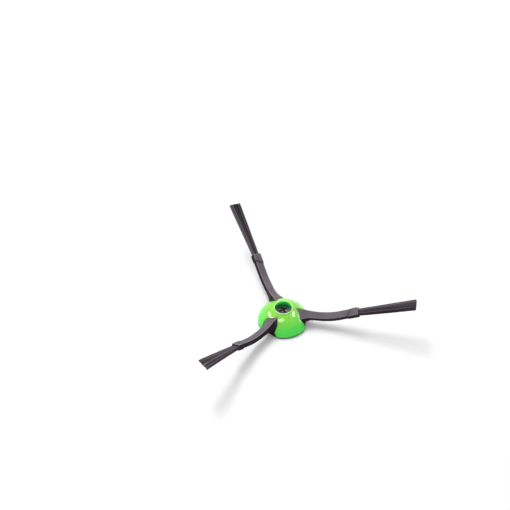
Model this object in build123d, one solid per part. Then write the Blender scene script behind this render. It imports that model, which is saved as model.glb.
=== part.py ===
from build123d import *
import os
from math import cos, radians, sin, sqrt, tan

# Three-armed corner brush for a floor-cleaning robot, in millimetres and degrees.
# The origin is the middle of the hub's flat base, +Z goes up through the screw well,
# and the first arm reaches out along +X. "Leading" is the counter-clockwise side of an arm.

# Hub cap: a shallow dome with a well down its middle
hub_radius = 16.8
dome_height = 12.6
cap_wall = 1.6
well_radius = 5.55
rim_wall = 0.8
rim_stand = 0.85
rim_round = 0.35
rim_foot_round = 0.6

# Base plate with its boss and square drive socket
base_thickness = 0.8
base_inset = 0.1
shoulder_height = 3.0
shoulder_ledge = 0.4
boss_height = 7.7
boss_clearance = 0.1
socket_width = 7.0
socket_depth = 5.0
socket_corner = 1.0

# Captive screw: a necked shank under a pan head with a cross recess
head_radius = 4.9
head_height = 3.0
head_edge = 2.1
head_play = 0.05
neck_radius = 1.4
neck_clearance = 0.08
neck_play = 0.3
thread_radius = 1.9
thread_length = 2.0
thread_chamfer = 0.5
recess_span = 6.4
recess_wing = 1.6
recess_depth = 2.0
recess_taper = 14
recess_angle = 38

# Rubber arms: pitched straps that leave the hub level and then curve upwards
arm_count = 3
arm_reach = 49.0
arm_width = 5.2
arm_thickness = 3.4
arm_pitch = 17.6
arm_level = 8.8
arm_rise = 24
level_length = 1.7
bend_radius = 38.0
strap_round = 0.35

# Arm roots, which fill the notches of the cap
root_flat = 1.7
root_back_gap = 1.0
root_half_width = 4.8
root_ridge_side = 2.0
root_ridge_lift = 2.0
root_edge_drop = 0.7
root_shoulder_drop = 1.0
root_waist_height = 3.8
root_foot_spread = 1.9
root_edge_spread = 1.0
root_sink = 0.35
root_setback = 2.3
root_belly_height = 3.4
flare_length = 7.5
flare_sections = 6
notch_gap = 0.15
web_inset = 2.85
web_height = 3.6
web_clearance = 0.1

# Sleeves at the arm ends
sleeve_short = 5.2
sleeve_long = 7.9
sleeve_proud = 0.27
sleeve_round = 0.2

# Bristle tufts: flat fans of filament rows, each with its own lean, droop and twist
tuft_length = 39.0
tuft_root_width = 4.3
tuft_root_thickness = 2.1
tuft_tip_width = 8.5
tuft_tip_thickness = 1.8
tuft_seat = 3.6
tuft_clearance = 0.05
row_count = 9
row_depth = 0.3
tuft_lean = [-2.2, 3.3, 5.0]
tuft_droop = [3.8, -0.6, 1.2]
tuft_twist = [-13.0, -4.0, -39.0]

# Sizes that follow from the ones above
rim_radius = well_radius + rim_wall
rim_height = dome_height * sqrt(1 - (rim_radius / hub_radius) ** 2) + rim_stand
shoulder_radius = rim_radius + shoulder_ledge
boss_radius = well_radius - boss_clearance
hole_radius = neck_radius + neck_clearance
root_front = hub_radius - root_flat
root_back = rim_radius + root_back_gap
flare_start = root_front - root_setback
flare_end = flare_start + flare_length
bend_start = flare_end + level_length
bend_end = bend_start + bend_radius * sin(radians(arm_rise))
bend_top = arm_level + bend_radius * (1 - cos(radians(arm_rise)))
arm_top = bend_top + (arm_reach - bend_end) * tan(radians(arm_rise))


def band(inner, outer, low, high):
    return Pos(inner, low) * Rectangle(outer - inner, high - low, align=Align.MIN)


def turned(profile):
    return revolve(Plane.XZ * profile, Axis.Z)


def around(index):
    return Rot(0, 0, 360 / arm_count * index)


def across(distance):
    # The upright plane that cuts the first arm at this distance from the axis
    return Plane((distance, 0, 0), x_dir=(0, 1, 0), z_dir=(1, 0, 0))


def root_outline(low, grow):
    # An arm root seen along the arm: a ridge on the leading side, a spread foot below it
    side = root_half_width + grow
    return [
        (-side - root_edge_spread, low),
        (-side, arm_level - root_edge_drop + grow),
        (root_ridge_side, arm_level + root_ridge_lift + grow),
        (side, arm_level - root_shoulder_drop + grow),
        (side, root_waist_height),
        (side + root_foot_spread, low),
    ]


def root_prism(front, grow):
    outline = make_face(Polyline(root_outline(base_thickness, grow), close=True))
    return extrude(across(root_back - grow) * outline, front - root_back + grow)


def root_block():
    # A plug that fills the notch just under the dome's surface, with the ridge standing out of it
    inset_dome = Ellipse(hub_radius - root_sink, dome_height - root_sink)
    plug = turned(inset_dome & band(0, hub_radius, base_thickness, dome_height))
    return root_prism(flare_start, 0) + (root_prism(root_front, 0) & plug)


def strap_corners():
    lean = radians(arm_pitch)
    over = Vector(cos(lean), sin(lean)) * (arm_width / 2)
    down = Vector(sin(lean), -cos(lean)) * arm_thickness
    middle = Vector(0, arm_level)
    trailing, leading = middle - over, middle + over
    return [trailing + down, trailing, leading, leading + down / 2, leading + down]


def flare_section(step):
    # The root narrows to the strap along a concave curve
    share = (1 - step / (flare_sections - 1)) ** 2
    side = root_half_width
    wide_end = [(-side, root_belly_height)] + root_outline(base_thickness, 0)[1:4] + [(side, root_belly_height)]
    points = [narrow + (Vector(*wide) - narrow) * share for wide, narrow in zip(wide_end, strap_corners())]
    distance = flare_start + flare_length * step / (flare_sections - 1)
    return across(distance) * make_face(Polyline(points, close=True))


def end_plane():
    # The arm's end: X out along the strap, Y to the leading side, Z off its top face
    rise = radians(arm_rise)
    plane = Plane((arm_reach, 0, arm_top), x_dir=(cos(rise), 0, sin(rise)), z_dir=(-sin(rise), 0, cos(rise)))
    return Plane(plane.location * Rot(arm_pitch, 0, 0))


def mouth():
    # The middle of the arm's end face, looking out along the strap
    plane = end_plane()
    centre = plane.from_local_coords((0, 0, -arm_thickness / 2))
    return Plane(centre, x_dir=plane.y_dir, z_dir=plane.x_dir)


def strap():
    level = Line((flare_end, 0, arm_level), (bend_start, 0, arm_level))
    bend = TangentArc((bend_start, 0, arm_level), (bend_end, 0, bend_top), tangent=(1, 0, 0))
    rising = Line((bend_end, 0, bend_top), (arm_reach, 0, arm_top))
    corners = strap_corners()
    middle = (corners[0] + corners[2]) / 2
    face = Pos(middle.X, middle.Y) * Rot(0, 0, arm_pitch) * RectangleRounded(arm_width, arm_thickness, strap_round)
    return sweep(across(flare_end) * face, path=level + bend + rising)


def sleeve():
    half = arm_width / 2 + sleeve_proud
    outline = Polyline((0, half), (-sleeve_short, half), (-sleeve_long, -half), (0, -half), close=True)
    depth = arm_thickness + 2 * sleeve_proud
    block = extrude(end_plane().offset(sleeve_proud) * make_face(outline), -depth)
    return fillet(block.edges(), sleeve_round)


def pocket():
    width = tuft_root_width + 2 * tuft_clearance
    thickness = tuft_root_thickness + 2 * tuft_clearance
    depth = tuft_seat + tuft_clearance
    return extrude(mouth() * Rectangle(width, thickness), -depth)


def arm():
    flare = loft([flare_section(step) for step in range(flare_sections)])
    return root_block() + flare + strap() + sleeve() - pocket()


def arm_spider():
    inner = shoulder_radius + web_clearance
    web = turned(band(inner, root_front - web_inset, base_thickness, base_thickness + web_height))
    return web + [around(index) * arm() for index in range(arm_count)]


def hub_cap():
    dome = Ellipse(hub_radius, dome_height)
    hollow = Ellipse(hub_radius - cap_wall, dome_height - cap_wall)
    shell = (dome - hollow) & band(0, hub_radius, base_thickness, dome_height)
    tube = band(well_radius, rim_radius, shoulder_height, rim_height)
    profile = shell + tube - band(0, well_radius, 0, dome_height + rim_stand)
    rim_corners = profile.vertices().group_by(Axis.Y)[-1]
    profile = fillet(rim_corners, min(rim_round, 0.45 * rim_wall))
    foot = profile.vertices().sort_by_distance((rim_radius, rim_height - rim_stand))[0]
    profile = fillet(foot, min(rim_foot_round, 0.6 * rim_stand))
    solid = turned(profile)
    notch = root_prism(hub_radius, notch_gap)
    return solid - [around(index) * notch for index in range(arm_count)]


def hub_base():
    plate = Cylinder(hub_radius - base_inset, base_thickness, align=(Align.CENTER, Align.CENTER, Align.MIN))
    flat = extrude(across(root_front) * Rectangle(2 * hub_radius, 2 * hub_radius), root_flat)
    plate -= [around(index) * flat for index in range(arm_count)]
    boss = turned(band(0, shoulder_radius, 0, shoulder_height) + band(0, boss_radius, 0, boss_height))
    socket = extrude(RectangleRounded(socket_width, socket_width, socket_corner), socket_depth)
    hole = extrude(Circle(hole_radius), boss_height)
    return plate + boss - socket - hole


def captive_screw():
    seat = boss_height + head_play
    top = seat + head_height
    neck_end = socket_depth - neck_play
    tip = neck_end - thread_length
    crown = ThreePointArc((head_radius, seat + head_edge), (head_radius * 0.72, top - head_edge * 0.4), (0, top))
    head = make_face(Polyline((0, top), (0, seat), (head_radius, seat), (head_radius, seat + head_edge)) + crown)
    shank = band(0, neck_radius, neck_end, seat) + band(0, thread_radius, tip, neck_end)
    body = turned(head + shank)
    body = chamfer(body.edges().group_by(Axis.Z)[0], min(thread_chamfer, 0.6 * thread_radius))
    wing = Rectangle(recess_span, recess_wing)
    cross = Rot(0, 0, recess_angle) * (wing + Rot(0, 0, 90) * wing)
    return body - extrude(Pos(0, 0, top) * cross, -recess_depth, taper=recess_taper)


def row_section(width, thickness):
    # Filament rows side by side: each row stands above and below the valleys beside it
    spacing = width / row_count
    upper = []
    for row in range(row_count):
        left = -width / 2 + spacing * row
        upper.append((left, thickness / 2 - row_depth))
        upper.append((left + spacing / 2, thickness / 2))
    upper.append((width / 2, thickness / 2 - row_depth))
    lower = [(-across, -up) for across, up in upper]
    return make_face(Polyline(upper + lower, close=True))


def tip_plane(index):
    root = mouth()
    lean = radians(tuft_lean[index % len(tuft_lean)])
    droop = radians(tuft_droop[index % len(tuft_droop)])
    out = root.z_dir * cos(lean) * cos(droop) + root.x_dir * sin(lean) - root.y_dir * sin(droop)
    plane = Plane(root.origin + out * tuft_length, x_dir=root.x_dir, z_dir=out)
    return Plane(plane.location * Rot(0, 0, tuft_twist[index % len(tuft_twist)]))


def bristle_tuft(index):
    root = mouth()
    narrow = row_section(tuft_root_width, tuft_root_thickness)
    wide = row_section(tuft_tip_width, tuft_tip_thickness)
    seated = extrude(root * narrow, -tuft_seat)
    fan = loft([root * narrow, tip_plane(index) * wide], ruled=True)
    return around(index) * (seated + fan)


def main():
    os.makedirs("parts", exist_ok=True)
    nodes = {
        "hub_cap": hub_cap(),
        "hub_base": hub_base(),
        "arm_spider": arm_spider(),
        "captive_screw": captive_screw(),
    }
    for index in range(arm_count):
        nodes[f"bristle_tuft_{index + 1}"] = bristle_tuft(index)
    for name, solid in nodes.items():
        export_step(solid, f"parts/{name}.step")
        print(name, len(solid.solids()), round(solid.volume, 1))


main()
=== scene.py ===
import bpy
import bmesh
import numpy as np
from math import cos, pi, radians, sin
from mathutils import Matrix, Vector


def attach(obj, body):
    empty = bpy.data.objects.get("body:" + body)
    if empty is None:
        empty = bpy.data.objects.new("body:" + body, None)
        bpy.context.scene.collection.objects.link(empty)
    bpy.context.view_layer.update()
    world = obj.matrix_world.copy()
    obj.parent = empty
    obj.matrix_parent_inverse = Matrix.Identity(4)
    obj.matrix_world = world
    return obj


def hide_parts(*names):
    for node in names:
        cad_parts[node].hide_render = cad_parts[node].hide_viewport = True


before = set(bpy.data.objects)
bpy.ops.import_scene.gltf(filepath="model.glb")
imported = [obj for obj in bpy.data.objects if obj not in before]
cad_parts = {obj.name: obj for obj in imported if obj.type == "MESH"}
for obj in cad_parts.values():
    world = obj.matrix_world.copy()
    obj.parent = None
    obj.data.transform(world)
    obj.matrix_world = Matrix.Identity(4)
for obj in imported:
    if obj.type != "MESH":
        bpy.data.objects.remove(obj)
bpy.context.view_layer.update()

scene = bpy.context.scene
print("frame loaded with", len(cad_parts), "nodes")


# all sizes are in metres and all angles in degrees

# camera: the photo's frame is 510 pixels square, and the aim is where its middle meets the table

cameraSet = {
    "aim": (-0.0283, 0.0586, 0.0),
    "azimuth": 9.217,
    "elevation": 43.91,
    "distance": 1.1423,
    "lens": 117.1,
    "clipStart": 0.05,
}


def placeCamera(settings):
    turn, lift = radians(settings["azimuth"]), radians(settings["elevation"])
    outward = Vector((sin(turn) * cos(lift), -cos(turn) * cos(lift), sin(lift)))
    data = bpy.data.cameras.new("photoCamera")
    data.lens = settings["lens"]
    data.clip_start = settings["clipStart"]
    camera = bpy.data.objects.new("photoCamera", data)
    camera.location = Vector(settings["aim"]) + outward * settings["distance"]
    camera.rotation_euler = (pi / 2 - lift, 0, turn)
    scene.collection.objects.link(camera)
    scene.camera = camera


def fromPhoto(direction):
    # a direction given as right, back and up in the photo
    turn = radians(cameraSet["azimuth"])
    right, back, up = direction
    return Vector((right * cos(turn) - back * sin(turn), right * sin(turn) + back * cos(turn), up))


placeCamera(cameraSet)
print("camera placed")


# shader groups that several finishes share

def newGroup(name, inputs, outputs):
    group = bpy.data.node_groups.new(name, "ShaderNodeTree")
    for socketName, kind, value in inputs:
        socket = group.interface.new_socket(name=socketName, in_out="INPUT", socket_type=kind)
        socket.default_value = value
    for socketName, kind in outputs:
        group.interface.new_socket(name=socketName, in_out="OUTPUT", socket_type=kind)
    return group, group.nodes.new("NodeGroupInput"), group.nodes.new("NodeGroupOutput")


def addNode(tree, kind, **settings):
    node = tree.nodes.new(kind)
    for key, value in settings.items():
        setattr(node, key, value)
    return node


def addRange(tree, start, end, low=0.0, high=1.0, smooth=True):
    # a value from start to end becomes one from low to high
    curve = "SMOOTHSTEP" if smooth else "LINEAR"
    node = addNode(tree, "ShaderNodeMapRange", interpolation_type=curve)
    sockets = ("From Min", "From Max", "To Min", "To Max")
    for socketName, value in zip(sockets, (start, end, low, high)):
        node.inputs[socketName].default_value = value
    return node


def addTones(tree, high, low=None):
    # a mix of two tones; without a low one, that input waits for a link
    node = addNode(tree, "ShaderNodeMix", data_type="RGBA")
    node.inputs["B"].default_value = (*high, 1)
    if low is not None:
        node.inputs["A"].default_value = (*low, 1)
    return node


skinSet = {
    "grainDetail": 3.0,
    "cloudDetail": 2.0,
    "grainShare": 0.35,  # of the grain in the roughness, beside the whole cloudiness
    "sumRange": (0.4, 0.95),  # what that sum reaches
}


def buildMouldedSkin(settings):
    # grain height, a slow cloudiness and a roughness that follows both
    inputs = [
        ("Grain Scale", "NodeSocketFloat", 900.0),
        ("Cloud Scale", "NodeSocketFloat", 60.0),
        ("Roughness Low", "NodeSocketFloat", 0.3),
        ("Roughness High", "NodeSocketFloat", 0.4),
    ]
    outputs = [(name, "NodeSocketFloat") for name in ("Grain", "Cloud", "Roughness")]
    group, source, result = newGroup("mouldedSkin", inputs, outputs)
    link = group.links.new
    coords = addNode(group, "ShaderNodeTexCoord")
    grain = addNode(group, "ShaderNodeTexNoise")
    grain.inputs["Detail"].default_value = settings["grainDetail"]
    cloud = addNode(group, "ShaderNodeTexNoise")
    cloud.inputs["Detail"].default_value = settings["cloudDetail"]
    blend = addNode(group, "ShaderNodeMath", operation="MULTIPLY_ADD")
    blend.inputs[1].default_value = settings["grainShare"]
    spread = addRange(group, *settings["sumRange"], smooth=False)
    link(coords.outputs["Object"], grain.inputs["Vector"])
    link(coords.outputs["Object"], cloud.inputs["Vector"])
    link(source.outputs["Grain Scale"], grain.inputs["Scale"])
    link(source.outputs["Cloud Scale"], cloud.inputs["Scale"])
    link(grain.outputs["Fac"], blend.inputs[0])
    link(cloud.outputs["Fac"], blend.inputs[2])
    link(blend.outputs[0], spread.inputs["Value"])
    link(source.outputs["Roughness Low"], spread.inputs["To Min"])
    link(source.outputs["Roughness High"], spread.inputs["To Max"])
    link(grain.outputs["Fac"], result.inputs["Grain"])
    link(cloud.outputs["Fac"], result.inputs["Cloud"])
    link(spread.outputs["Result"], result.inputs["Roughness"])
    return group


# painted light: a lighter tone painted on what faces up, thinner in patches
topLightSet = {
    "patchDetail": 4.0,
    "patchRange": (0.3, 0.7),
    "thinnest": 0.72,
}


def buildPaintedTopLight(settings):
    # painted light: what faces up takes a lighter tone, thinner in patches
    inputs = [
        ("Top Light Start", "NodeSocketFloat", 0.62),
        ("Top Light Full", "NodeSocketFloat", 0.93),
        ("Patch Scale", "NodeSocketFloat", 120.0),
    ]
    group, source, result = newGroup("paintedTopLight", inputs, [("Top Light", "NodeSocketFloat")])
    link = group.links.new
    coords = addNode(group, "ShaderNodeTexCoord")
    axes = addNode(group, "ShaderNodeSeparateXYZ")
    facesUp = addRange(group, 0.0, 1.0)
    patches = addNode(group, "ShaderNodeTexNoise")
    patches.inputs["Detail"].default_value = settings["patchDetail"]
    thinning = addRange(group, *settings["patchRange"], low=settings["thinnest"], smooth=False)
    topLight = addNode(group, "ShaderNodeMath", operation="MULTIPLY")
    link(coords.outputs["Normal"], axes.inputs["Vector"])
    link(axes.outputs["Z"], facesUp.inputs["Value"])
    link(source.outputs["Top Light Start"], facesUp.inputs["From Min"])
    link(source.outputs["Top Light Full"], facesUp.inputs["From Max"])
    link(coords.outputs["Object"], patches.inputs["Vector"])
    link(source.outputs["Patch Scale"], patches.inputs["Scale"])
    link(patches.outputs["Fac"], thinning.inputs["Value"])
    link(facesUp.outputs["Result"], topLight.inputs[0])
    link(thinning.outputs["Result"], topLight.inputs[1])
    link(topLight.outputs[0], result.inputs["Top Light"])
    return group


mouldedSkin = buildMouldedSkin(skinSet)
# painted light on upward faces, shared by the moulded finishes
paintedTopLight = buildPaintedTopLight(topLightSet)


def newFinish(name):
    material = bpy.data.materials.new(name)
    material.use_nodes = True
    tree = material.node_tree
    return material, tree, tree.nodes["Principled BSDF"]


def mouldedFinish(name, look):
    # two tones mixed by the slow cloudiness, then painted light on upward faces, painted highlights
    # on raised edges and painted shade in recesses; the grain is a bump
    material, tree, shader = newFinish(name)
    link = tree.links.new
    skin = addNode(tree, "ShaderNodeGroup", node_tree=mouldedSkin)
    for key, socketName in (("grainScale", "Grain Scale"), ("cloudScale", "Cloud Scale"),
                            ("roughLow", "Roughness Low"), ("roughHigh", "Roughness High")):
        skin.inputs[socketName].default_value = look[key]
    tones = addTones(tree, look["toneHigh"], look["toneLow"])
    bump = addNode(tree, "ShaderNodeBump")
    bump.inputs["Strength"].default_value = look["bumpStrength"]
    bump.inputs["Distance"].default_value = look["bumpDistance"]
    # painted light: a lighter tone on what faces up
    topLight = addNode(tree, "ShaderNodeGroup", node_tree=paintedTopLight)
    # painted highlight along raised edges that face up
    edgeHighlight = addNode(tree, "ShaderNodeAttribute", attribute_name="paintedEdgeHighlight")
    # painted shade in recesses and grooves
    recessShade = addNode(tree, "ShaderNodeAttribute", attribute_name="paintedRecessShade")
    topLit = addTones(tree, look["topLightTone"])
    edgeLit = addTones(tree, look["edgeHighlightTone"])
    recessShaded = addTones(tree, look["recessShadeTone"])
    link(skin.outputs["Cloud"], tones.inputs["Factor"])
    link(tones.outputs["Result"], topLit.inputs["A"])
    link(topLight.outputs["Top Light"], topLit.inputs["Factor"])
    link(topLit.outputs["Result"], edgeLit.inputs["A"])
    link(edgeHighlight.outputs["Fac"], edgeLit.inputs["Factor"])
    link(edgeLit.outputs["Result"], recessShaded.inputs["A"])
    link(recessShade.outputs["Fac"], recessShaded.inputs["Factor"])
    link(recessShaded.outputs["Result"], shader.inputs["Base Color"])
    link(skin.outputs["Roughness"], shader.inputs["Roughness"])
    link(skin.outputs["Grain"], bump.inputs["Height"])
    link(bump.outputs["Normal"], shader.inputs["Normal"])
    shader.inputs["Specular IOR Level"].default_value = look["specular"]
    return material


# pieces taken from the frame get merged vertices, softened edges and smooth shading

solidSet = {
    "mergeDistance": 1e-6,
    "edgeSegments": 3,
}


def linkPiece(name, mesh):
    piece = bpy.data.objects.new(name, mesh)
    scene.collection.objects.link(piece)
    return piece


def mergedCopy(nodeName, pieceName):
    mesh = bpy.data.meshes.new(pieceName)
    work = bmesh.new()
    work.from_mesh(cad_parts[nodeName].data)
    bmesh.ops.remove_doubles(work, verts=work.verts, dist=solidSet["mergeDistance"])
    work.to_mesh(mesh)
    work.free()
    if "custom_normal" in mesh.attributes:
        mesh.attributes.remove(mesh.attributes["custom_normal"])
    return linkPiece(pieceName, mesh)


def settle(piece):
    # what the modifiers make becomes the piece's own plain mesh
    graph = bpy.context.evaluated_depsgraph_get()
    mesh = bpy.data.meshes.new_from_object(piece.evaluated_get(graph))
    piece.modifiers.clear()
    old = piece.data
    piece.data = mesh
    bpy.data.meshes.remove(old)
    return piece


def softenEdges(piece, width, angle):
    bevel = piece.modifiers.new("edges", "BEVEL")
    bevel.width = width
    bevel.segments = solidSet["edgeSegments"]
    bevel.limit_method = "ANGLE"
    bevel.angle_limit = radians(angle)
    bevel.use_clamp_overlap = True
    settle(piece)
    piece.data.shade_smooth()
    piece.data.set_sharp_from_angle(angle=radians(angle))
    return piece


def seat(piece, body, nodeName, material):
    piece.data.materials.clear()
    piece.data.materials.append(material)
    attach(piece, body)
    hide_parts(nodeName)
    print(piece.name, "has", len(piece.data.polygons), "faces")


# green hub cap

capSet = {
    "edge": 0.00022,  # width of the softened edges
    "angle": 32,  # sharper edges than this are softened
    # the tone climbs from the green low down into a painted yellowish sheen at the top
    "lowTone": (0.035, 0.94, 0.05),
    "sheenTone": (0.24, 0.71, 0.042),
    "sheenHeights": (0.003, 0.0118),  # between the low and the high tone
    "wellTone": (0.022, 0.78, 0.115),
    "wellRadius": 0.0057,
    "wellBand": 0.0003,  # over which the well's tone fades in
    # painted highlight on the rim's top
    "rimTone": (0.42, 0.9, 0.26),
    "rimRadius": 0.0062,
    "rimBand": 0.0004,
    "rimHeights": (0.0119, 0.0123),
    "grainScale": 420.0,
    "roughness": (0.12, 0.2),
    "peel": 0.05,
    "peelDepth": 0.0002,
    "specular": 0.2,
    "coat": 0.9,
    "coatRough": 0.06,
    "glowDepth": 0.5,  # share of the light that goes into the plastic
    "glowRadius": (0.3, 1.0, 0.2),
    "glowScale": 0.005,
}


def glossFinish(name, settings):
    # the tone climbs with the height into a painted yellowish sheen, turns deep inside the well and
    # takes a painted pale highlight on the rim
    material, tree, shader = newFinish(name)
    link = tree.links.new
    skin = addNode(tree, "ShaderNodeGroup", node_tree=mouldedSkin)
    skin.inputs["Grain Scale"].default_value = settings["grainScale"]
    for socketName, value in zip(("Roughness Low", "Roughness High"), settings["roughness"]):
        skin.inputs[socketName].default_value = value
    coords = addNode(tree, "ShaderNodeTexCoord")
    axes = addNode(tree, "ShaderNodeSeparateXYZ")
    # painted sheen towards the top
    climb = addRange(tree, *settings["sheenHeights"])
    flat = addNode(tree, "ShaderNodeVectorMath", operation="MULTIPLY")
    flat.inputs[1].default_value = (1, 1, 0)
    radius = addNode(tree, "ShaderNodeVectorMath", operation="LENGTH")
    inside = addRange(tree, settings["wellRadius"] + settings["wellBand"], settings["wellRadius"])
    body = addTones(tree, settings["sheenTone"], settings["lowTone"])
    tone = addTones(tree, settings["wellTone"])
    # a painted pale highlight on the thin top of the rim, standing in for the light that comes
    # through it and catches its lip
    onRim = addRange(tree, settings["rimRadius"] + settings["rimBand"], settings["rimRadius"])
    rimTop = addRange(tree, *settings["rimHeights"])
    thin = addNode(tree, "ShaderNodeMath", operation="MULTIPLY")
    lip = addTones(tree, settings["rimTone"])
    bump = addNode(tree, "ShaderNodeBump")
    bump.inputs["Strength"].default_value = settings["peel"]
    bump.inputs["Distance"].default_value = settings["peelDepth"]
    link(coords.outputs["Object"], axes.inputs["Vector"])
    link(axes.outputs["Z"], climb.inputs["Value"])
    link(climb.outputs["Result"], body.inputs["Factor"])
    link(coords.outputs["Object"], flat.inputs[0])
    link(flat.outputs["Vector"], radius.inputs[0])
    link(radius.outputs["Value"], inside.inputs["Value"])
    link(inside.outputs["Result"], tone.inputs["Factor"])
    link(body.outputs["Result"], tone.inputs["A"])
    link(tone.outputs["Result"], lip.inputs["A"])
    link(radius.outputs["Value"], onRim.inputs["Value"])
    link(axes.outputs["Z"], rimTop.inputs["Value"])
    link(onRim.outputs["Result"], thin.inputs[0])
    link(rimTop.outputs["Result"], thin.inputs[1])
    link(thin.outputs[0], lip.inputs["Factor"])
    link(lip.outputs["Result"], shader.inputs["Base Color"])
    link(skin.outputs["Roughness"], shader.inputs["Roughness"])
    link(skin.outputs["Grain"], bump.inputs["Height"])
    link(bump.outputs["Normal"], shader.inputs["Normal"])
    for key, socketName in (("specular", "Specular IOR Level"), ("coat", "Coat Weight"),
                            ("coatRough", "Coat Roughness"), ("glowDepth", "Subsurface Weight"),
                            ("glowRadius", "Subsurface Radius"), ("glowScale", "Subsurface Scale")):
        shader.inputs[socketName].default_value = settings[key]
    return material


capPiece = softenEdges(mergedCopy("hub_cap", "capShell"), capSet["edge"], capSet["angle"])
seat(capPiece, "brush", "hub_cap", glossFinish("greenGloss", capSet))


# dark base plate under the cap

baseSet = {
    "edge": 0.00012,
    "angle": 32,
    "look": {
        "toneLow": (0.022, 0.019, 0.022), "toneHigh": (0.034, 0.03, 0.034),
        # the next tones are painted light on upward faces, a painted highlight on raised edges and
        # painted shade in recesses
        "topLightTone": (0.05, 0.045, 0.05), "edgeHighlightTone": (0.06, 0.055, 0.06),
        "recessShadeTone": (0.01, 0.009, 0.01),
        "grainScale": 1400.0, "cloudScale": 90.0, "roughLow": 0.42, "roughHigh": 0.6,
        "bumpStrength": 0.25, "bumpDistance": 0.0001, "specular": 0.25,
    },
}

basePiece = softenEdges(mergedCopy("hub_base", "basePlate"), baseSet["edge"], baseSet["angle"])
seat(basePiece, "brush", "hub_base", mouldedFinish("darkPlastic", baseSet["look"]))


# rubber arms: remeshed finely, so that every edge of the moulding is softly rounded

armSet = {
    "voxel": 0.00013,
    "smoothing": 2,
    "smoothFactor": 0.5,
    "keepShare": 0.3,  # of the remeshed faces
    "armCount": 3,
    "endPoint": (0.049, 0.0, 0.017225),  # top of the first arm's end
    "rise": 24.0,
    "pitch": 17.6,
    "lipLine": ((-0.0052, 0.00287), (-0.0079, -0.00287)),  # slanted edge of the sleeve
    "lipWidth": 0.0003,
    "grooveWidth": 0.0006,
    "grooveDepth": 0.00055,
    "proud": 0.00027,  # the sleeve's top over the arm's
    "cutMargin": 0.001,
    # settings for the painted highlight on raised edges and the painted shade in recesses
    "markSteps": 10,
    "highlightFrom": (0.00002, 0.0001),  # height over the smooth copy
    "highlightFacing": (0.42, 0.52),  # upward part of the normal
    "look": {
        "toneLow": (0.013, 0.009, 0.013), "toneHigh": (0.021, 0.015, 0.021),
        # the next tones are painted light on upward faces, a painted highlight on raised edges and
        # painted shade in recesses
        "topLightTone": (0.168, 0.142, 0.166), "edgeHighlightTone": (0.32, 0.29, 0.318),
        "recessShadeTone": (0.008, 0.006, 0.008),
        "grainScale": 1600.0, "cloudScale": 45.0, "roughLow": 0.38, "roughHigh": 0.48,
        "bumpStrength": 0.15, "bumpDistance": 0.0001, "specular": 0.05,
    },
}


def grooveCutter(settings):
    # a slanted bar across the top of each sleeve, just behind the lip that ends it
    start, end = (Vector(point) for point in settings["lipLine"])
    edge = (end - start).normalized()
    outward = Vector((-edge.y, edge.x))
    if outward.x < 0:
        outward = -outward
    margin, lip = edge * settings["cutMargin"], outward * settings["lipWidth"]
    near = start - margin + lip, end + margin + lip
    corners = [*near, *(point + outward * settings["grooveWidth"] for point in reversed(near))]
    low = settings["proud"] - settings["grooveDepth"]
    high = settings["proud"] + settings["cutMargin"]
    lean = Matrix.Rotation(-radians(settings["rise"]), 4, "Y")
    twist = Matrix.Rotation(radians(settings["pitch"]), 4, "X")
    mesh = bpy.data.meshes.new("grooveCutter")
    work = bmesh.new()
    for index in range(settings["armCount"]):
        place = Matrix.Rotation(2 * pi * index / settings["armCount"], 4, "Z")
        place @= Matrix.Translation(settings["endPoint"])
        place @= lean @ twist
        below = [work.verts.new(place @ Vector((*point, low))) for point in corners]
        above = [work.verts.new(place @ Vector((*point, high))) for point in corners]
        work.faces.new(below)
        work.faces.new(above)
        for side in range(len(corners)):
            after = (side + 1) % len(corners)
            work.faces.new((below[side], below[after], above[after], above[side]))
    bmesh.ops.recalc_face_normals(work, faces=work.faces)
    work.to_mesh(mesh)
    work.free()
    return linkPiece("grooveCutter", mesh)


def roundedMoulding(piece, cutter, settings):
    groove = piece.modifiers.new("groove", "BOOLEAN")
    groove.operation = "DIFFERENCE"
    groove.object = cutter
    remesh = piece.modifiers.new("skin", "REMESH")
    remesh.mode = "VOXEL"
    remesh.voxel_size = settings["voxel"]
    smooth = piece.modifiers.new("soften", "SMOOTH")
    smooth.factor = settings["smoothFactor"]
    smooth.iterations = settings["smoothing"]
    thin = piece.modifiers.new("thin", "DECIMATE")
    thin.ratio = settings["keepShare"]
    settle(piece)
    piece.data.shade_smooth()
    bpy.data.objects.remove(cutter)
    return piece


def markEdges(piece, settings):
    # an edge gets a painted highlight, or a recess painted shade, by how far it lies off a much
    # smoother copy of the piece
    mesh = piece.data
    count = len(mesh.vertices)
    points, normals = np.empty(count * 3), np.empty(count * 3)
    pairs = np.empty(len(mesh.edges) * 2, dtype=np.int32)
    mesh.vertices.foreach_get("co", points)
    mesh.vertices.foreach_get("normal", normals)
    mesh.edges.foreach_get("vertices", pairs)
    points, normals, pairs = points.reshape(-1, 3), normals.reshape(-1, 3), pairs.reshape(-1, 2)
    neighbours = np.bincount(pairs.ravel(), minlength=count)[:, None]
    smooth = points.copy()
    for _ in range(settings["markSteps"]):
        total = np.zeros_like(smooth)
        np.add.at(total, pairs[:, 0], smooth[pairs[:, 1]])
        np.add.at(total, pairs[:, 1], smooth[pairs[:, 0]])
        smooth = total / neighbours
    proud = ((points - smooth) * normals).sum(axis=1)
    low, high = settings["highlightFrom"]
    sideways, upward = settings["highlightFacing"]
    facing = np.clip((normals[:, 2] - sideways) / (upward - sideways), 0, 1)
    # only what faces up gets the painted highlight, and the painted shade gathers all round
    for name, way, reach in (("paintedEdgeHighlight", 1, facing), ("paintedRecessShade", -1, 1)):
        mask = mesh.attributes.new(name, "FLOAT", "POINT")
        mask.data.foreach_set("value", np.clip((proud * way - low) / (high - low), 0, 1) * reach)


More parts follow.
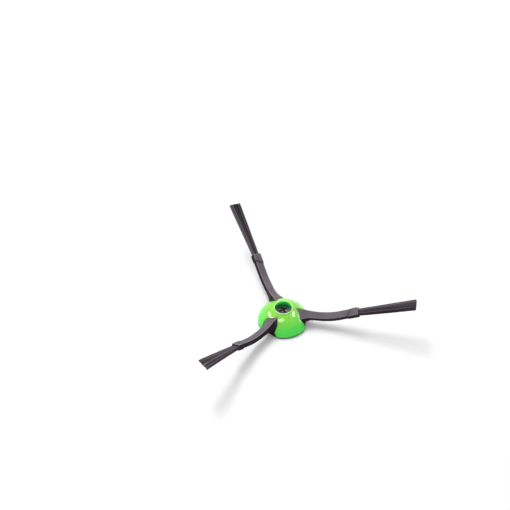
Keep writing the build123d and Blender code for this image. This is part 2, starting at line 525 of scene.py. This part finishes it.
armPiece = roundedMoulding(mergedCopy("arm_spider", "rubberArms"), grooveCutter(armSet), armSet)
markEdges(armPiece, armSet)
seat(armPiece, "brush", "arm_spider", mouldedFinish("satinRubber", armSet["look"]))


# pieces grown by geometry nodes

def geometryTree(name, inputs):
    tree = bpy.data.node_groups.new(name, "GeometryNodeTree")
    tree.interface.new_socket(name="Geometry", in_out="OUTPUT", socket_type="NodeSocketGeometry")
    for socketName, kind in inputs:
        tree.interface.new_socket(name=socketName, in_out="INPUT", socket_type=kind)
    return tree, tree.nodes.new("NodeGroupInput"), tree.nodes.new("NodeGroupOutput")


def nodeInputs(modifier, values):
    for item in modifier.node_group.interface.items_tree:
        if item.in_out == "INPUT" and item.name in values:
            modifier[item.identifier] = values[item.name]


def grownPiece(name, tree, values):
    piece = linkPiece(name, bpy.data.meshes.new(name))
    modifier = piece.modifiers.new("grow", "NODES")
    modifier.node_group = tree
    nodeInputs(modifier, values)
    settle(piece)
    piece.data.shade_smooth()
    return piece


# screw in the well

screwSet = {
    "edge": 0.00015,
    "angle": 32,
    "steel": (0.115, 0.107, 0.112),
    "toneSpread": (0.8, 1.2),  # times the steel's tone
    "grainScale": 2200.0,
    "cloudScale": 260.0,
    "roughness": (0.22, 0.4),
    "dentScale": 420.0,
    "dents": 0.55,
    "dentDepth": 0.0006,
    "threadTop": 0.00475,
    "coreRadius": 0.00148,
    "ridgeRadius": 0.00145,
    "ridgeHeight": 0.00036,
    "ridgeSides": 4,
    "turnSteps": 40,
    "pitch": 0.0007,
    "threadStart": 0.0031,
    "threadRise": 0.0013,
}


def steelFinish(name, settings):
    # cloudy dark metal with shallow dents
    material, tree, shader = newFinish(name)
    link = tree.links.new
    skin = addNode(tree, "ShaderNodeGroup", node_tree=mouldedSkin)
    skin.inputs["Grain Scale"].default_value = settings["grainScale"]
    skin.inputs["Cloud Scale"].default_value = settings["cloudScale"]
    for socketName, value in zip(("Roughness Low", "Roughness High"), settings["roughness"]):
        skin.inputs[socketName].default_value = value
    darker, lighter = (Vector(settings["steel"]) * share for share in settings["toneSpread"])
    tones = addTones(tree, lighter, darker)
    link(skin.outputs["Cloud"], tones.inputs["Factor"])
    link(tones.outputs["Result"], shader.inputs["Base Color"])
    link(skin.outputs["Roughness"], shader.inputs["Roughness"])
    coords = addNode(tree, "ShaderNodeTexCoord")
    dents = addNode(tree, "ShaderNodeTexNoise")
    dents.inputs["Scale"].default_value = settings["dentScale"]
    bump = addNode(tree, "ShaderNodeBump")
    bump.inputs["Strength"].default_value = settings["dents"]
    bump.inputs["Distance"].default_value = settings["dentDepth"]
    link(coords.outputs["Object"], dents.inputs["Vector"])
    link(dents.outputs["Fac"], bump.inputs["Height"])
    link(bump.outputs["Normal"], shader.inputs["Normal"])
    shader.inputs["Metallic"].default_value = 1.0
    return material


def slimShank(piece, settings):
    # the shank gets slim under the thread's ridge
    for vertex in piece.data.vertices:
        radius = vertex.co.xy.length
        if vertex.co.z < settings["threadTop"] and radius > settings["coreRadius"]:
            vertex.co.xy *= settings["coreRadius"] / radius
    return piece


def buildThreadTree():
    # a spiral that carries a small sharp ridge
    number, whole = "NodeSocketFloat", "NodeSocketInt"
    tree, source, result = geometryTree("screwThread", [
        ("Radius", number), ("Turns", number), ("Rise", number), ("Start", "NodeSocketVector"),
        ("Ridge", number), ("Turn Steps", whole), ("Ridge Sides", whole),
        ("Material", "NodeSocketMaterial"),
    ])
    given = source.outputs
    link = tree.links.new
    spiral = addNode(tree, "GeometryNodeCurveSpiral")
    for name, socketName in (("Turn Steps", "Resolution"), ("Turns", "Rotations"),
                             ("Radius", "Start Radius"), ("Radius", "End Radius"),
                             ("Rise", "Height")):
        link(given[name], spiral.inputs[socketName])
    upright = addNode(tree, "GeometryNodeSetCurveNormal", mode="Z_UP")
    lift = addNode(tree, "GeometryNodeTransform")
    diamond = addNode(tree, "GeometryNodeCurvePrimitiveCircle", mode="RADIUS")
    ridge = addNode(tree, "GeometryNodeCurveToMesh")
    ridge.inputs["Fill Caps"].default_value = True
    realize = addNode(tree, "GeometryNodeRealizeInstances")
    finish = addNode(tree, "GeometryNodeSetMaterial")
    link(given["Start"], lift.inputs["Translation"])
    link(given["Ridge"], diamond.inputs["Radius"])
    link(given["Ridge Sides"], diamond.inputs["Resolution"])
    link(given["Material"], finish.inputs["Material"])
    link(spiral.outputs["Curve"], upright.inputs["Curve"])
    link(upright.outputs["Curve"], lift.inputs["Geometry"])
    link(lift.outputs["Geometry"], ridge.inputs["Curve"])
    link(diamond.outputs["Curve"], ridge.inputs["Profile Curve"])
    link(ridge.outputs["Mesh"], realize.inputs["Geometry"])
    link(realize.outputs["Geometry"], finish.inputs["Geometry"])
    link(finish.outputs["Geometry"], result.inputs["Geometry"])
    return tree


darkSteel = steelFinish("darkSteel", screwSet)
screwPiece = slimShank(mergedCopy("captive_screw", "screwBody"), screwSet)
softenEdges(screwPiece, screwSet["edge"], screwSet["angle"])
seat(screwPiece, "screw", "captive_screw", darkSteel)
threadPiece = grownPiece("screwThread", buildThreadTree(), {
    "Radius": screwSet["ridgeRadius"], "Turns": screwSet["threadRise"] / screwSet["pitch"],
    "Rise": screwSet["threadRise"], "Start": Vector((0, 0, screwSet["threadStart"])),
    "Ridge": screwSet["ridgeHeight"], "Turn Steps": screwSet["turnSteps"],
    "Ridge Sides": screwSet["ridgeSides"], "Material": darkSteel,
})
threadPiece.data.set_sharp_from_angle(angle=radians(screwSet["angle"]))
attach(threadPiece, "screw")
print("screwThread has", len(threadPiece.data.polygons), "faces")


# bristle tufts: loose filaments between the ends of each tuft's solid

tuftSet = {
    "count": 260,
    "seedStep": 10,  # from one tuft to the next
    "draws": {"across": 17, "depth": 31, "cut": 3, "wander": 4, "shade": 5, "streak": 6},
    "filamentRadius": 0.00014,
    "joints": 12,
    "sides": 5,
    "steps": {"across": 0.7548776662, "depth": 0.569840291},  # fill a plane evenly
    "shifts": {"across": 0.17, "depth": 0.31},
    "jitter": 0.02,
    "clumps": 3.5,  # in half the width
    "clumping": 0.16,
    "streaks": 6.0,  # in half the width
    "streakShare": 0.88,  # of a filament's shade, beside its own
    "shadeCurve": 1.9,
    "stray": 0.0002,
    "unevenEnds": 0.01,
    "capFacing": 0.9,  # faces turned this far along the tuft are its ends
    "cornerDigits": 7,
    "toneLow": (0.006, 0.004, 0.006),
    "toneHigh": (0.26, 0.215, 0.255),
    "roughness": 0.42,
    "specular": 0.08,
}


def tuftEnds(nodeName, settings):
    # middle, half width and half thickness of the seated end and of the tip of a tuft's solid
    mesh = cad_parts[nodeName].data
    points = [vertex.co for vertex in mesh.vertices]
    axis = max(points, key=lambda p: p.xy.length) - min(points, key=lambda p: p.xy.length)
    axis.normalize()
    inset, digits = settings["filamentRadius"], settings["cornerDigits"]
    ends = []
    for side in (-1, 1):
        outward = axis * side
        caps = [face for face in mesh.polygons if face.normal.dot(outward) > settings["capFacing"]]
        used = {index for face in caps for index in face.vertices}
        corners = {tuple(round(value, digits) for value in points[index]) for index in used}
        corners = np.array(sorted(corners))
        middle = corners.mean(axis=0)
        across = Vector(np.linalg.eigh(np.cov((corners - middle).T))[1][:, 2])
        if ends and across.dot(ends[0][1]) < 0:
            across = -across
        up = (caps[0].normal * side).cross(across).normalized()
        width, depth = (max(abs((corners - middle) @ np.array(way))) for way in (across, up))
        ends.append((Vector(middle), across * (width - inset), up * (depth - inset)))
    return ends


def buildTuftTree(settings):
    vector, number, whole = "NodeSocketVector", "NodeSocketFloat", "NodeSocketInt"
    tree, source, result = geometryTree("bristleTuft", [
        ("Count", whole), ("Seed", whole), ("Joints", whole), ("Sides", whole), ("Radius", number),
        ("Root Middle", vector), ("Root Across", vector), ("Root Up", vector),
        ("Tip Middle", vector), ("Tip Across", vector), ("Tip Up", vector),
        ("Clumps", number), ("Clumping", number), ("Streaks", number), ("Stray", number),
        ("Uneven Ends", number), ("Material", "NodeSocketMaterial"),
    ])
    given = source.outputs
    link = tree.links.new

    def math(operation, *values):
        node = addNode(tree, "ShaderNodeMath", operation=operation)
        for socket, value in zip(node.inputs, values):
            if isinstance(value, (int, float)):
                socket.default_value = value
            else:
                link(value, socket)
        return node.outputs[0]

    def vectorMath(operation, *values, scale=None):
        node = addNode(tree, "ShaderNodeVectorMath", operation=operation)
        for socket, value in zip(node.inputs, values):
            link(value, socket)
        if scale is not None:
            link(scale, node.inputs["Scale"])
        return node.outputs[0]

    # one straight curve for each filament
    points = addNode(tree, "GeometryNodePoints")
    link(given["Count"], points.inputs["Count"])
    line = addNode(tree, "GeometryNodeCurvePrimitiveLine")
    steps = addNode(tree, "GeometryNodeResampleCurve")
    link(line.outputs["Curve"], steps.inputs["Curve"])
    link(given["Joints"], steps.inputs["Count"])
    spread = addNode(tree, "GeometryNodeInstanceOnPoints")
    link(points.outputs[0], spread.inputs["Points"])
    link(steps.outputs["Curve"], spread.inputs["Instance"])
    loose = addNode(tree, "GeometryNodeRealizeInstances")
    link(spread.outputs["Instances"], loose.inputs["Geometry"])

    owner = addNode(tree, "GeometryNodeCurveOfPoint").outputs["Curve Index"]

    def chance(draw, kind="FLOAT", low=-1.0, high=1.0, of=owner):
        # one random value for each filament, or for each value of another field
        node = addNode(tree, "FunctionNodeRandomValue", data_type=kind)
        sockets = [s for s in node.inputs if s.enabled]
        if kind == "FLOAT":
            sockets[0].default_value, sockets[1].default_value = low, high
        else:
            sockets[0].default_value, sockets[1].default_value = (low,) * 3, (high,) * 3
        link(of, node.inputs["ID"])
        link(math("ADD", given["Seed"], float(settings["draws"][draw])), node.inputs["Seed"])
        return [s for s in node.outputs if s.enabled][0]

    def evenly(way):
        # from -1 to 1 without gaps or bunches, jittered a little
        shifted = math("MULTIPLY", given["Seed"], settings["shifts"][way])
        turns = math("ADD", math("MULTIPLY", owner, settings["steps"][way]), shifted)
        even = math("SUBTRACT", math("MULTIPLY", math("FRACT", turns), 2.0), 1.0)
        jitter = settings["jitter"]
        reach = math("ADD", 1 - jitter, chance(way, low=-jitter, high=jitter))
        return math("MULTIPLY", even, reach)

    def placed(end, acrossShare, upShare):
        # a point on the root or the tip of the tuft
        sideways = vectorMath("SCALE", given[end + " Across"], scale=acrossShare)
        upwards = vectorMath("SCALE", given[end + " Up"], scale=upShare)
        return vectorMath("ADD", given[end + " Middle"], vectorMath("ADD", sideways, upwards))

    across, depth = evenly("across"), evenly("depth")
    clump = math("ROUND", math("MULTIPLY", across, given["Clumps"]))
    clumped = math("DIVIDE", clump, given["Clumps"])
    pull = math("MULTIPLY", math("SUBTRACT", clumped, across), given["Clumping"])
    root = placed("Root", across, depth)
    tip = placed("Tip", math("ADD", across, pull), depth)

    # each filament runs from its root towards its tip, a little short and a little astray
    along = addNode(tree, "GeometryNodeSplineParameter").outputs["Factor"]
    cut = math("SUBTRACT", 1.0, math("MULTIPLY", given["Uneven Ends"], chance("cut", low=0.0)))
    share = math("MULTIPLY", along, cut)
    run = vectorMath("SCALE", vectorMath("SUBTRACT", tip, root), scale=share)
    straight = vectorMath("ADD", root, run)
    bow = math("MULTIPLY", math("SINE", math("MULTIPLY", share, pi)), given["Stray"])
    wander = vectorMath("SCALE", chance("wander", kind="FLOAT_VECTOR"), scale=bow)
    place = addNode(tree, "GeometryNodeSetPosition")
    link(loose.outputs["Geometry"], place.inputs["Geometry"])
    link(vectorMath("ADD", straight, wander), place.inputs["Position"])

    # filaments side by side share a streak, and each has a little of its own shade
    shade = addNode(tree, "GeometryNodeStoreNamedAttribute", data_type="FLOAT", domain="POINT")
    shade.inputs["Name"].default_value = "filamentShade"
    link(place.outputs["Geometry"], shade.inputs["Geometry"])
    streak = chance("streak", low=0.0, of=math("ROUND", math("MULTIPLY", across, given["Streaks"])))
    own = chance("shade", low=0.0)
    streaked = math("MULTIPLY", streak, settings["streakShare"])
    mixed = math("ADD", streaked, math("MULTIPLY", own, 1 - settings["streakShare"]))
    link(math("POWER", mixed, settings["shadeCurve"]), shade.inputs["Value"])

    # every filament is a thin tube
    ring = addNode(tree, "GeometryNodeCurvePrimitiveCircle", mode="RADIUS")
    link(given["Sides"], ring.inputs["Resolution"])
    link(given["Radius"], ring.inputs["Radius"])
    tube = addNode(tree, "GeometryNodeCurveToMesh")
    tube.inputs["Fill Caps"].default_value = True
    link(shade.outputs["Geometry"], tube.inputs["Curve"])
    link(ring.outputs["Curve"], tube.inputs["Profile Curve"])
    realize = addNode(tree, "GeometryNodeRealizeInstances")
    link(tube.outputs["Mesh"], realize.inputs["Geometry"])
    finish = addNode(tree, "GeometryNodeSetMaterial")
    link(realize.outputs["Geometry"], finish.inputs["Geometry"])
    link(given["Material"], finish.inputs["Material"])
    link(finish.outputs["Geometry"], result.inputs["Geometry"])
    return tree


def filamentFinish(name, settings):
    material, tree, shader = newFinish(name)
    shade = addNode(tree, "ShaderNodeAttribute", attribute_name="filamentShade")
    tones = addTones(tree, settings["toneHigh"], settings["toneLow"])
    tree.links.new(shade.outputs["Fac"], tones.inputs["Factor"])
    tree.links.new(tones.outputs["Result"], shader.inputs["Base Color"])
    shader.inputs["Roughness"].default_value = settings["roughness"]
    shader.inputs["Specular IOR Level"].default_value = settings["specular"]
    return material


tuftTree = buildTuftTree(tuftSet)
filamentNylon = filamentFinish("darkNylon", tuftSet)
tuftNames = sorted(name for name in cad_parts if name.startswith("bristle_tuft"))
for seed, nodeName in enumerate(tuftNames):
    (rootMiddle, rootAcross, rootUp), (tipMiddle, tipAcross, tipUp) = tuftEnds(nodeName, tuftSet)
    tuft = grownPiece(nodeName.replace("bristle_tuft", "filaments"), tuftTree, {
        "Count": tuftSet["count"], "Seed": tuftSet["seedStep"] * seed,
        "Joints": tuftSet["joints"], "Sides": tuftSet["sides"], "Radius": tuftSet["filamentRadius"],
        "Root Middle": rootMiddle, "Root Across": rootAcross, "Root Up": rootUp,
        "Tip Middle": tipMiddle, "Tip Across": tipAcross, "Tip Up": tipUp,
        "Clumps": tuftSet["clumps"], "Clumping": tuftSet["clumping"], "Streaks": tuftSet["streaks"],
        "Stray": tuftSet["stray"], "Uneven Ends": tuftSet["unevenEnds"], "Material": filamentNylon,
    })
    seat(tuft, "brush", nodeName, filamentNylon)


# white table and studio light

stageSet = {
    "tableSize": 6.0,
    "tableGap": 0.0001,  # under the lowest piece
    "tableRough": 0.9,
    "tableColour": 0.88,
    "tableBounce": 0.8,  # its tone for the light that it sends back
    "tableGlow": 0.04,
    "farFrom": (0.13, 0.9),
    "farGlow": 0.7,
    "brightSide": (-0.1, 0.9, 0.42),  # right, back and up
    "fadeRange": (0.2, 0.95),
    "worldLow": 0.62,
    "worldHigh": 1.05,
    "worldShown": 1.0,  # plain white behind the table
    "boxDistance": 0.9,
}


def shownRays(tree):
    # 1 for what the camera sees, also mirrored or through glass
    rays = addNode(tree, "ShaderNodeLightPath")
    mirrored = addNode(tree, "ShaderNodeMath", operation="MAXIMUM")
    shown = addNode(tree, "ShaderNodeMath", operation="MAXIMUM")
    tree.links.new(rays.outputs["Is Glossy Ray"], mirrored.inputs[0])
    tree.links.new(rays.outputs["Is Transmission Ray"], mirrored.inputs[1])
    tree.links.new(rays.outputs["Is Camera Ray"], shown.inputs[0])
    tree.links.new(mirrored.outputs[0], shown.inputs[1])
    return shown.outputs[0]


def buildTable(settings):
    # white with a faint glow that grows far from the object, and the object's shadow stays
    half = settings["tableSize"] / 2
    mesh = bpy.data.meshes.new("table")
    low = -settings["tableGap"]
    corners = [(-half, -half, low), (half, -half, low), (half, half, low), (-half, half, low)]
    mesh.from_pydata(corners, [], [(0, 1, 2, 3)])
    table = linkPiece("table", mesh)
    material, tree, shader = newFinish("whiteTable")
    link = tree.links.new
    shader.inputs["Roughness"].default_value = settings["tableRough"]
    shader.inputs["Specular IOR Level"].default_value = 0.0
    glow = addNode(tree, "ShaderNodeEmission")
    coords = addNode(tree, "ShaderNodeTexCoord")
    far = addNode(tree, "ShaderNodeVectorMath", operation="LENGTH")
    haze = addRange(tree, *settings["farFrom"], low=settings["tableGlow"], high=settings["farGlow"])
    shown = shownRays(tree)
    tone = addRange(tree, 0.0, 1.0, settings["tableBounce"], settings["tableColour"], smooth=False)
    reach = addNode(tree, "ShaderNodeMath", operation="MULTIPLY")
    both = addNode(tree, "ShaderNodeAddShader")
    link(coords.outputs["Object"], far.inputs[0])
    link(far.outputs["Value"], haze.inputs["Value"])
    link(shown, tone.inputs["Value"])
    link(tone.outputs["Result"], shader.inputs["Base Color"])
    link(shown, reach.inputs[0])
    link(haze.outputs["Result"], reach.inputs[1])
    link(reach.outputs[0], glow.inputs["Strength"])
    link(shader.outputs["BSDF"], both.inputs[0])
    link(glow.outputs["Emission"], both.inputs[1])
    link(both.outputs["Shader"], tree.nodes["Material Output"].inputs["Surface"])
    mesh.materials.append(material)


def buildWorld(settings):
    # soft room light that fades from the bright side to the opposite one
    world = bpy.data.worlds.new("studio")
    world.use_nodes = True
    tree = world.node_tree
    link = tree.links.new
    sky = tree.nodes["Background"]
    sky.inputs["Color"].default_value = (1, 1, 1, 1)
    coords = addNode(tree, "ShaderNodeTexCoord")
    facing = addNode(tree, "ShaderNodeVectorMath", operation="DOT_PRODUCT")
    facing.inputs[1].default_value = fromPhoto(settings["brightSide"])
    fade = addRange(tree, *settings["fadeRange"], settings["worldLow"], settings["worldHigh"])
    strength = addNode(tree, "ShaderNodeMix", data_type="FLOAT")
    strength.inputs["B"].default_value = settings["worldShown"]
    link(coords.outputs["Generated"], facing.inputs[0])
    link(facing.outputs["Value"], fade.inputs["Value"])
    link(shownRays(tree), strength.inputs["Factor"])
    link(fade.outputs["Result"], strength.inputs["A"])
    link(strength.outputs["Result"], sky.inputs["Strength"])
    scene.world = world


# softboxes: where each stands, seen from the hub, and where its long side runs, as right, back
# and up; the key lights the object without a reflection, and the others only shine in its gloss

softboxes = {
    "keyBox": {
        "toward": (-0.27, 0.345, 0.9), "along": (0, 1, 0),
        "size": (0.48, 0.26), "watts": 4.4, "diffuse": True,
    },
    "leftBox": {
        "toward": (-0.68, 0.33, 0.65), "along": (0, -0.38, 0.17),
        "size": (0.42, 0.13), "watts": 1.6, "diffuse": False,
    },
    "leftStrip": {
        "toward": (-0.55, 0.02, 0.83), "along": (0.25, -0.16, 0.17),
        "size": (0.34, 0.12), "watts": 1.2, "diffuse": False,
    },
    "frontBox": {
        "toward": (-0.12, -0.215, 0.965), "along": (0.28, 0.02, 0.04),
        "size": (0.32, 0.16), "watts": 1.45, "diffuse": False,
    },
    "rightBox": {
        "toward": (0.5, 0.39, 0.776), "along": (0.17, -0.34, 0.05),
        "size": (0.48, 0.16), "watts": 1.9, "diffuse": False,
    },
    "sideBox": {
        "toward": (0.888, 0.174, 0.426), "along": (0.17, -0.29, -0.25),
        "size": (0.52, 0.18), "watts": 1.5, "diffuse": False,
    },
}


def hangSoftbox(name, settings, distance):
    toward = fromPhoto(settings["toward"]).normalized()
    data = bpy.data.lights.new(name, "AREA")
    data.shape = "RECTANGLE"
    data.size, data.size_y = settings["size"]
    data.energy = settings["watts"]
    lamp = bpy.data.objects.new(name, data)
    lamp.location = toward * distance
    lamp.visible_diffuse = settings["diffuse"]
    lamp.visible_glossy = not settings["diffuse"]
    across = toward.cross(fromPhoto(settings["along"])).normalized()
    lamp.rotation_euler = Matrix((across.cross(toward), across, toward)).transposed().to_euler()
    scene.collection.objects.link(lamp)


buildTable(stageSet)
buildWorld(stageSet)
for boxName, boxSet in softboxes.items():
    hangSoftbox(boxName, boxSet, stageSet["boxDistance"])
print("table and lights set")

scene.view_settings.view_transform = "Standard"
